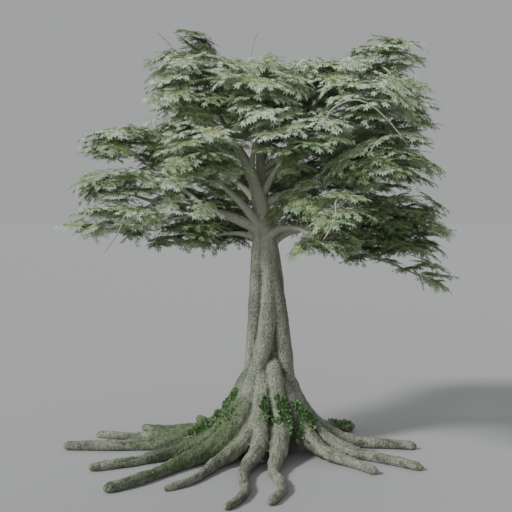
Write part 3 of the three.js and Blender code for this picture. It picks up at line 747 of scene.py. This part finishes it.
GAP_SPRAYS = {  # radius and hubs of the sprays that close the gaps of the crown, by the mass that bears them
    "back_right": (0.95, (
        (0.35, 2.3, 9.9), (0.95, 2.6, 9.2), (-0.95, 2.5, 9.8), (0.15, 2.9, 10.9), (-0.4, 2.7, 9.1),
        (1.5, 2.2, 9.9), (-1.7, 2.6, 9.9), (-2.4, 2.4, 10.1), (-1.3, 2.9, 10.5), (0.9, 2.9, 10.2),
        (1.3, 2.8, 9.3), (0.3, 2.4, 9.0), (-1.2, 1.9, 8.7), (-2.0, 2.0, 9.0), (-0.75, 2.3, 8.5),
        (-2.7, 2.2, 9.4), (-1.5, 2.6, 11.3), (-0.9, 2.5, 12.1), (0.3, 2.6, 11.7), (-2.2, 2.4, 11.2),
        (1.1, 2.5, 11.2), (-0.3, 2.9, 12.6), (1.9, 2.4, 10.6), (1.9, 2.6, 9.3), (0.7, 2.2, 8.6),
        (1.3, 2.2, 8.5), (-1.6, 2.0, 8.2), (-0.2, 2.3, 10.3), (0.7, 2.4, 12.4), (-1.9, 2.2, 12.0),
        (-1.25, 1.5, 9.6), (-1.8, 1.5, 10.3), (-2.3, 1.5, 9.7), (-1.0, 1.6, 10.2), (0.6, 1.6, 10.6),
        (-1.1, 2.1, 8.0), (-1.9, 2.1, 7.95), (-2.6, 1.9, 8.0), (1.9, 2.3, 8.4), (1.0, 2.0, 8.95),
        (1.5, 2.1, 9.05), (1.3, 1.7, 8.75),
    )),
    "right_low_front": (0.55, (
        (0.15, -1.1, 9.05), (0.75, -1.4, 9.65), (1.2, -1.7, 9.35), (0.7, -1.3, 10.35), (1.35, -1.6, 10.1),
        (1.75, -3.7, 8.7), (1.85, -3.9, 8.4), (1.35, -3.9, 8.05), (1.75, -3.6, 7.95), (2.2, -4.0, 7.9),
        (1.0, -3.4, 7.85), (2.6, -3.8, 8.0), (1.5, -3.0, 9.2), (1.0, -2.6, 9.4),
    )),
    "top_left_plume": (0.55, ((-2.7, 1.9, 15.5), (-3.1, 1.8, 15.65), (-2.3, 1.7, 15.45))),
    "back_top": (0.95, (
        (-2.4, 2.0, 13.0), (-1.2, 2.1, 13.6), (-3.0, 2.2, 12.2), (0.4, 2.1, 13.9), (1.6, 2.0, 13.3),
        (2.4, 2.1, 12.5), (3.4, 1.9, 13.2), (3.9, 2.0, 12.2), (1.2, 2.1, 12.3), (2.9, 1.6, 12.0),
        (-0.4, 1.9, 13.2), (3.0, 2.4, 13.8),
    )),
}
OPENING = ((-0.5, 10.3), (0.62, 1.35))  # middle and half sizes, across and up, of the gap before the leaders
SPARSE = {"top_left_plume": 0.15, "top_right_plume": 0.5, "right_low_tip": 0.5}  # share of fine sprays kept
TRIMMED = {  # heading and how far along it a mass bears no sprays: the top dips and the right low bough shows
    "top_middle": ((0, 0, 1), 14.7),
    "top_left_plume": ((-1, 0, 1), 19.2),
    "right_low_front": ((-1, 0, 0), -1.9),
}
FINE_CLEARANCE = (0.42, 0.32)
FINE_REACH = (0.78, 1.08)  # least and most reach of a fine spray, in shares of the mass's half size
INNER_PLACES = (0.26, 0.35, 0.45, 0.58, 0.7, 0.82, 0.94)  # where sprays leave a bough on its way to its mass
INNER_RADIUS = (0.55, 0.9)
INNER_REACH = 0.65
INNER_LOWEST = 9.6  # the boughs in front are bare below this height
INNER_BEHIND = 0.7
SPACE_MARGIN = 0.04
LIMB_MARGIN = 0.06
LIMB_SAMPLING = 0.12
TWIG_TESTS = 8
TWIG_SUNK = 2


def seeded(seed):
    """The same row of numbers from 0 to 1 for the same seed."""
    state = seed * 2654435761 % 2**32
    while True:
        state = (state * 1664525 + 1013904223) % 2**32
        yield state / 2**32


limb_places = []
limb_radii = []
for mass, *_ in BOUGHS:
    line = bough_lines[mass]
    length = np.linalg.norm(np.diff(line, axis=0), axis=1).sum()
    picks = np.linspace(0, PLACES_ON_LIMB, math.ceil(length / LIMB_SAMPLING) + 1)
    steps = np.arange(PLACES_ON_LIMB + 1)
    limb_places.append(read_off(line, steps, picks))
    limb_radii.append(np.interp(picks, steps, bough_radii[mass]))
trunk_line = trunk_middle(np.arange(0, FORK_HEIGHT, LIMB_SAMPLING))
limb_places = np.concatenate([*limb_places, trunk_line])
limb_radii = np.concatenate([*limb_radii, np.full(len(trunk_line), FORK_RADIUS)])


def is_clear_of_limbs(places):
    away = np.linalg.norm(places[:, None] - limb_places[None], axis=2)
    return (away > limb_radii + LIMB_MARGIN).all()


def is_free(mass, places):
    """Whether all the places are in a mass's own space and clear of the limbs."""
    own = share_out(mass, places)
    if own.max() > 1:
        return False
    for other in MASSES:
        if other != mass and (share_out(other, places) <= own + SPACE_MARGIN).any():
            return False
    return is_clear_of_limbs(places)


def spray_at(mass, draw, radius, sway=0):
    centre, half = np.array(MASSES[mass][:2])
    out = np.array([2 * next(draw) - 1 for _ in range(3)])
    lean = SPRAY_TILT * out[:2]
    if sway:
        lean += sway * np.array([2 * next(draw) - 1, 2 * next(draw) - 1])
    axis = unit(np.array([*lean, 1]))
    side = unit(np.cross((0, 1, 0), axis))
    return {
        "mass": mass, "radius": radius, "is_fine": sway > 0, "is_inside": False,
        "hub": centre + out * half, "axis": axis, "side": side, "front": np.cross(axis, side),
        "spin": 2 * math.pi * next(draw), "stagger": next(draw),
    }


def spray_rim(spray):
    corner = np.arange(2 * SPRAY_LOBES)
    share = np.where(corner % 2 == 0, 1, SPRAY_NOTCH)[:, None]
    angle = (spray["spin"] + math.pi * corner / SPRAY_LOBES)[:, None]
    reach = spray["radius"] * share
    spread = spray["side"] * np.cos(angle) + spray["front"] * np.sin(angle)
    return spray["hub"] + reach * (spread - SPRAY_DROOP * share * spray["axis"])


def nearest_of(places, wanted):
    return places[np.argmin(np.linalg.norm(places - wanted, axis=1))]


def are_apart(one, other, clearance):
    sideways, upright = clearance
    gap = one["hub"] - other["hub"]
    aside = math.hypot(gap[0], gap[1]) / (sideways * (one["radius"] + other["radius"]))
    return math.hypot(aside, gap[2] / upright) > 1


def hides_leaders(places):
    middle, half = np.array(OPENING)
    aside = np.linalg.norm((places[:, ::2] - middle) / half, axis=1)
    return ((aside < 1) & (places[:, 1] < 0)).any()


def grown(mass):
    """The stem of one mass and its sprays: large ones, fine ones between them and those that close gaps."""
    draw = seeded(MASSES[mass][2])
    line = bough_lines[mass]
    ahead = unit(line[-1] - line[-2])
    start = line[-1]
    centre = np.array(MASSES[mass][0])
    end = mix(centre, start, -STEM_REACH)
    bend = start + ahead * STEM_BEND * np.linalg.norm(end - start)
    stem = on_bend(start, bend, end, np.linspace(0, 1, STEM_STEPS + 1)[:, None])
    chord = end - start
    sprays = []
    for trial in range(SPRAY_TRIALS):
        spray = spray_at(mass, draw, mix(*SPRAY_RADIUS, trial / SPRAY_TRIALS))
        if not all(are_apart(spray, other, SPRAY_CLEARANCE) for other in sprays):
            continue
        rim = spray_rim(spray)
        along = np.clip((spray["hub"] - start) @ chord / (chord @ chord), 0, 1)
        on_stem = mix(*TWIG_FEET, along) + TWIG_STAGGER * spray["stagger"]
        spray["foot"] = on_bend(start, bend, end, on_stem)
        twig = mix(spray["foot"], spray["hub"], np.linspace(0, 1, TWIG_TESTS + 1)[TWIG_SUNK:, None])
        tests = [rim, mix(rim, np.roll(rim, -1, axis=0), 0.5), mix(rim, spray["hub"], 0.5), twig]
        if is_free(mass, np.concatenate(tests)):
            sprays.append(spray)
    heading, farthest = TRIMMED.get(mass, ((0, 0, 0), 0))
    kept = [spray for spray in sprays if spray["hub"] @ heading <= farthest]
    forks = [mix(spray["foot"], spray["hub"], TWIG_FORKS) for spray in kept]
    forks = np.concatenate([stem[STEM_BARE:], *forks])
    fine = []
    clearance = np.array(FINE_CLEARANCE) * CLOSENESS.get(mass, 1)
    for trial in range(FINE_TRIALS):
        spray = spray_at(mass, draw, mix(*FINE_RADIUS, trial / FINE_TRIALS), FINE_SWAY)
        if not all(are_apart(spray, other, clearance) for other in fine):
            continue
        if not all(are_apart(spray, other, clearance) for other in sprays):
            continue
        tips = np.concatenate([mix(spray_rim(spray), spray["hub"], FINE_INSET), spray["hub"][None]])
        if next(draw) > SPARSE.get(mass, 1) or hides_leaders(tips):
            continue
        if share_out(mass, tips).max() < mix(*FINE_REACH, spray["stagger"]) and is_clear_of_limbs(tips):
            spray["foot"] = nearest_of(forks, spray["hub"])
            fine.append(spray)
    for share in INNER_PLACES:
        foot = line[round(share * PLACES_ON_LIMB)]
        spray = spray_at(mass, draw, mix(*INNER_RADIUS, next(draw)), FINE_SWAY)
        aside = np.array([next(draw) - 0.5, next(draw) - 0.5, 0.6 * next(draw)])
        spray["hub"] = foot + INNER_REACH * unit(aside)
        spray["foot"] = foot
        is_bare = foot[2] < INNER_LOWEST and foot[1] < INNER_BEHIND
        if not is_bare and not hides_leaders(spray_rim(spray)):
            fine.append(spray)
    kept += [spray for spray in fine if spray["hub"] @ heading <= farthest]
    gap_radius, gap_hubs = GAP_SPRAYS.get(mass, (0, ()))
    for hub in np.array(gap_hubs):
        spray = spray_at(mass, draw, gap_radius, GAP_SWAY)
        spray["hub"] = hub
        spray["foot"] = nearest_of(limb_places, hub)
        spray["is_inside"] = True
        kept.append(spray)
    return stem, kept


STEM_SIDES = 9
STEM_FIT = 0.98  # thickness of a stem's foot, as a share of its bough's tip
TWIG_SIDES = 4
TWIG_STEPS = 5
TWIG_ARCH = 0.1  # rise of a twig's middle, as a share of its length
TWIG_SWAY = 0.06
FINE_TWIG_SHARE = 0.6  # thickness of a fine spray's twig at its foot, as a share of a large one's
SHOOTS = (  # places that each bare shoot runs through, from near the wood that it springs from to its tip
    ((-3.48, 2.0, 15.13), (-3.95, 2.0, 15.75), (-4.43, 2.0, 16.18)),
    ((-0.74, 0.8, 14.7), (-0.62, 0.8, 15.3), (-0.39, 0.8, 15.99)),
    ((0.94, 0.5, 14.27), (1.0, 0.5, 14.5), (1.06, 0.5, 14.72)),
    ((2.83, -0.9, 13.71), (3.5, -0.8, 14.35), (4.2, -0.6, 14.72)),
    ((-5.08, -2.3, 9.18), (-5.3, -2.5, 8.3), (-5.8, -2.6, 7.7)),
    ((5.6, 0.0, 6.83), (5.85, -0.1, 6.5), (5.94, -0.1, 6.07)),
    ((2.08, -4.6, 9.63), (2.2, -5.0, 8.93), (1.74, -5.1, 8.27)),
    ((1.9, -3.9, 12.6), (3.3, -4.4, 13.05), (4.5, -4.4, 11.4)),
    ((3.3, -3.9, 11.0), (3.6, -4.1, 11.6), (4.1, -4.1, 11.68)),
    ((-1.39, -3.0, 12.07), (-2.0, -3.1, 12.05), (-2.12, -3.1, 11.35)),
    ((-2.5, -2.0, 11.1), (-3.0, -2.1, 11.15), (-3.42, -2.1, 11.45)),
    ((2.4, 4.6, 13.6), (2.8, 4.9, 14.3), (2.9, 5.1, 15.1)),
    ((-4.4, 4.4, 11.9), (-4.9, 4.7, 12.5), (-5.3, 4.9, 13.2)),
)
SHOOT_RADII = (0.036, 0.02)
SHOOT_STEPS = 8  # on each of its two bends

sprays = []
stem_parts = []
twig_parts = []
twig_lines = []
for mass, *_ in BOUGHS:
    stem, mass_sprays = grown(mass)
    sprays += mass_sprays
    ahead = unit(stem[1] - stem[0])
    stem = np.concatenate([[stem[0] - STEM_SUNK * ahead], stem])
    radii = np.linspace(STEM_FIT * bough_radii[mass][-1], STEM_TIP_RADIUS, len(stem))
    stem_parts.append(tube(stem, radii, STEM_SIDES))
for spray in sprays:
    length = np.linalg.norm(spray["hub"] - spray["foot"])
    bow = length * (dice.uniform(-TWIG_SWAY, TWIG_SWAY, 3) + (0, 0, TWIG_ARCH))
    line = bent_line(spray["foot"], mix(spray["foot"], spray["hub"], 0.5) + bow, spray["hub"], TWIG_STEPS)
    thick = TWIG_RADII[0] * (FINE_TWIG_SHARE if spray["is_fine"] else 1)
    twig_parts.append(tube(line, np.linspace(thick, TWIG_RADII[1], len(line)), TWIG_SIDES))
    twig_lines.append(line)
twig_places = np.concatenate(twig_lines)
for near, bend, tip in np.array(SHOOTS):
    foot = nearest_of(twig_places, near)
    middle = mix(near, bend, 0.5)
    lower = bent_line(foot, near, middle, SHOOT_STEPS)
    line = np.concatenate([lower, bent_line(middle, bend, tip, SHOOT_STEPS)[1:]])
    twig_parts.append(tube(line, np.linspace(*SHOOT_RADII, len(line)), TWIG_SIDES))

twig_bark = bark_material("twig_bark", 0.8, 0.8)
twigs = mesh_object("twigs", *joined(stem_parts + twig_parts), twig_bark, True)
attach(twigs, "root")
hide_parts(*("foliage_" + mass for mass in MASSES))

# Stalks: thin yellow-green rods that spread from each hub like the ribs of an umbrella, nearly level, every
# other one shorter. They grow out of the twig's end and carry the leaves.
STALK_COLOUR = (0.42, 0.46, 0.22, 1)
STALK_SIDES = 3
STALK_STEPS = 2
STALK_RADII = (0.022, 0.008)
STALK_LONG = (0.76, 0.96)  # least and most length, as a share of the spray's radius
STALK_SHORT = (0.46, 0.76)
STALK_ARCH = (0.015, 0.075)  # least and most rise of a stalk's middle, as a share of its length
STALK_FALL = (-0.1, 0.18)  # and fall of its tip
STALK_STRAY = 0.3  # from its even place round the hub, as a share of the spacing
STALKS_IN_LARGE = 24
STALKS_IN_FINE = 16


def on_stalks(spray, share):
    """Places on each stalk of a spray, at the given shares of its length."""
    rise = 4 * spray["arch"] * share * (1 - share) - spray["fall"] * share**2
    return spray["hub"] + spray["reach"] * (share * spray["out"] + rise * spray["axis"])


def rods(lines, radii, sides):
    """Corners and triangles of many thin open rods, each along its own nearly straight line of places."""
    ahead = lines[:, -1] - lines[:, 0]
    across = unit(np.cross(ahead, ASKEW))
    other = unit(np.cross(ahead, across))
    turn = around(sides)[:, None]
    ring = np.cos(turn) * across[:, None] + np.sin(turn) * other[:, None]
    corners = lines[:, :, None] + radii[:, None, None] * ring[:, None]
    count, places = lines.shape[:2]
    return corners.reshape(-1, 3), repeated(walls(places, sides), places * sides, count)


stalk_lines = []
for spray in sprays:
    count = STALKS_IN_FINE if spray["is_fine"] else STALKS_IN_LARGE
    index = np.arange(count)[:, None, None]
    shape = index.shape
    angle = spray["spin"] + 2 * math.pi * (index + dice.uniform(-STALK_STRAY, STALK_STRAY, shape)) / count
    lengths = np.where(index % 2 == 0, dice.uniform(*STALK_LONG, shape), dice.uniform(*STALK_SHORT, shape))
    spray["reach"] = spray["radius"] * lengths
    spray["out"] = np.cos(angle) * spray["side"] + np.sin(angle) * spray["front"]
    spray["arch"] = dice.uniform(*STALK_ARCH, shape)
    spray["fall"] = dice.uniform(*STALK_FALL, shape)
    stalk_lines.append(on_stalks(spray, np.linspace(0, 1, STALK_STEPS + 1)[None, :, None]))
stalk_skin = rods(np.concatenate(stalk_lines), np.linspace(*STALK_RADII, STALK_STEPS + 1), STALK_SIDES)
stalks = mesh_object("stalks", *stalk_skin, plain_material("stalk_green", STALK_COLOUR, 0.6), True)
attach(stalks, "root")

# Leaves: palmate leaves of five narrow pointed leaflets, each folded a little along its midrib, set left and
# right along every stalk, with one at its tip. They are silver to deep green by spray as painted light and
# shade, yellower near the hub.
TINTS = {  # from the palest to the deepest, as painted light and shade with the silver partly a painted sheen, and then the young leaves
    "silver": (0.54, 0.655, 0.49, 1),
    "pale": (0.355, 0.475, 0.30, 1),
    "green": (0.20, 0.295, 0.15, 1),
    "deep": (0.10, 0.16, 0.065, 1),
    "young": (0.28, 0.38, 0.145, 1),
}
TINT_LEVELS = (0.62, 0.28, -0.04)  # least level of a spray of each tint but the deepest
TINT_LIGHT = 0.3  # how much height in the mass and nearness to its edge each add to the level, as painted light
TINT_SPREAD = 0.4
SHADE = {  # how much deeper the leaves of a mass are as painted shade; a value below zero makes them paler as painted light
    "right_low": 0.5, "right_low_front": 0.2, "right_low_tip": 0.15, "right_middle": 0.1, "back_right": 0.3,
    "back_low": 0.3, "left_low": 0.25, "left_low_arm": 0.1, "left_arm": 0.2, "left_upper_arm": 0.2,
    "top_left_plume": 0.6,
    "right_upper": -0.25, "right_front_top": -0.25, "top_right": -0.2, "top_left": -0.1, "front_top": -0.1,
}
INSIDE_SHADE = 0.4  # how much deeper they are on the sprays that close gaps, as painted shade inside the crown
LEAF_FIRST = 0.2  # place of the first leaf along its stalk
LEAF_SPACING = 0.19
LEAF_STRAY = 0.03  # from its even place, as a share of the stalk's length
LEAVES_LEAST = 3  # on a stalk
YOUNG_SHARE = 0.42  # young leaves grow up to this place along a stalk
YOUNG_SPRAYS = 0.45  # on this share of the sprays
FRINGE_SHARE = 0.75  # leaves farther along a stalk than this are paler, as painted light on the spray's edge
LEAF_FAN = (0.5, 0.95)  # turn of a leaf from its stalk's heading, in radians
LEAF_TIP_FAN = 0.2
LEAF_FALL = (-0.1, 0.35)  # dip of a leaf under its stalk, in radians
LEAF_ROLL = 0.3
LEAFLET_LENGTH = (0.17, 0.24)
LEAFLET_WIDTH = 0.24  # as a share of the length
LEAFLET_ANGLES = (-84, -42, 0, 42, 84)
LEAFLET_LENGTHS = (0.6, 0.88, 1.0, 0.88, 0.6)
LEAFLET_WIDEST = 0.45
LEAFLET_FOLD = 0.02
LEAFLET_FALL = 0.12  # droop of a leaflet's tip, as a share of its length


def palmate_leaf():
    """Corners and triangles of one leaf of unit leaflets: +Y ahead, +Z up, folded along each midrib."""
    corners = []
    faces = []
    up = np.array([0, 0, 1])
    for turn, length in zip(np.radians(LEAFLET_ANGLES), LEAFLET_LENGTHS):
        ahead = length * np.array([math.sin(turn), math.cos(turn), 0])
        aside = LEAFLET_WIDTH / 2 * np.cross(ahead, up)
        widest = LEAFLET_WIDEST * ahead + LEAFLET_FOLD * length * up
        base = len(corners)
        corners += [0 * up, widest + aside, widest - aside, ahead - LEAFLET_FALL * length * up]
        faces += [(base, base + 1, base + 3), (base, base + 3, base + 2)]
    return np.array(corners), np.array(faces)


def tint_for(spray):
    """Index of a spray's tint, as painted light and shade: paler at the top and the outside of a mass, deeper
    inside and below, with a random spread.
    """
    centre, half, _ = MASSES[spray["mass"]]
    outness = min(1, share_out(spray["mass"], spray["hub"]))
    height = np.clip((spray["hub"][2] - centre[2]) / half[2], -1, 1)
    level = TINT_LIGHT * height + TINT_LIGHT * outness + dice.uniform(-TINT_SPREAD, TINT_SPREAD)
    level -= SHADE.get(spray["mass"], 0) + INSIDE_SHADE * spray["is_inside"]
    return sum(level < least for least in TINT_LEVELS)


leaf_corners, leaf_faces = palmate_leaf()
tint_names = list(TINTS)
tinted_leaves = {name: [] for name in TINTS}
for spray in sprays:
    per_stalk = max(LEAVES_LEAST, round(spray["radius"] * (1 - LEAF_FIRST) / LEAF_SPACING) + 1)
    index = np.arange(per_stalk)[None, :, None]
    shape = (len(spray["reach"]), per_stalk, 1)
    share = mix(LEAF_FIRST, 1, index / (per_stalk - 1)) + dice.uniform(-LEAF_STRAY, LEAF_STRAY, shape)
    share = np.minimum(share, 1)
    fan = np.where(index % 2 == 0, 1, -1) * dice.uniform(*LEAF_FAN, shape)
    fan[:, -1] = dice.uniform(-LEAF_TIP_FAN, LEAF_TIP_FAN, (len(fan), 1))
    slope = 4 * spray["arch"] * (1 - 2 * share) - 2 * spray["fall"] * share
    pitch = np.arctan(slope) - dice.uniform(*LEAF_FALL, shape)
    roll = dice.uniform(-LEAF_ROLL, LEAF_ROLL, shape)
    heading = np.cos(fan) * spray["out"] + np.sin(fan) * np.cross(spray["axis"], spray["out"])
    ahead = np.cos(pitch) * heading + np.sin(pitch) * spray["axis"]
    rise = np.cos(pitch) * spray["axis"] - np.sin(pitch) * heading
    up = np.cos(roll) * rise + np.sin(roll) * np.cross(ahead, rise)
    axes = dice.uniform(*LEAFLET_LENGTH, (*shape, 1)) * np.stack([np.cross(ahead, up), ahead, up], axis=2)
    leaves = np.einsum("ck,snkd->sncd", leaf_corners, axes) + on_stalks(spray, share)[:, :, None]
    leaves = leaves.reshape(-1, len(leaf_corners), 3)
    is_young = (share < YOUNG_SHARE).ravel() & (dice.uniform() < YOUNG_SPRAYS)
    is_fringe = (share > FRINGE_SHARE).ravel()
    tint = tint_for(spray)
    tinted_leaves["young"].append(leaves[is_young])
    # painted light: the fringe leaves take the next paler tint
    tinted_leaves[tint_names[max(0, tint - 1)]].append(leaves[is_fringe])
    tinted_leaves[tint_names[tint]].append(leaves[~is_young & ~is_fringe])
for name, groups in tinted_leaves.items():
    leaves = np.concatenate(groups)
    faces = repeated(leaf_faces, len(leaf_corners), len(leaves))
    material = plain_material("leaf_" + name, TINTS[name], 0.5)
    made = mesh_object("leaves_" + name, leaves.reshape(-1, 3), faces, material, False)
    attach(made, "root")
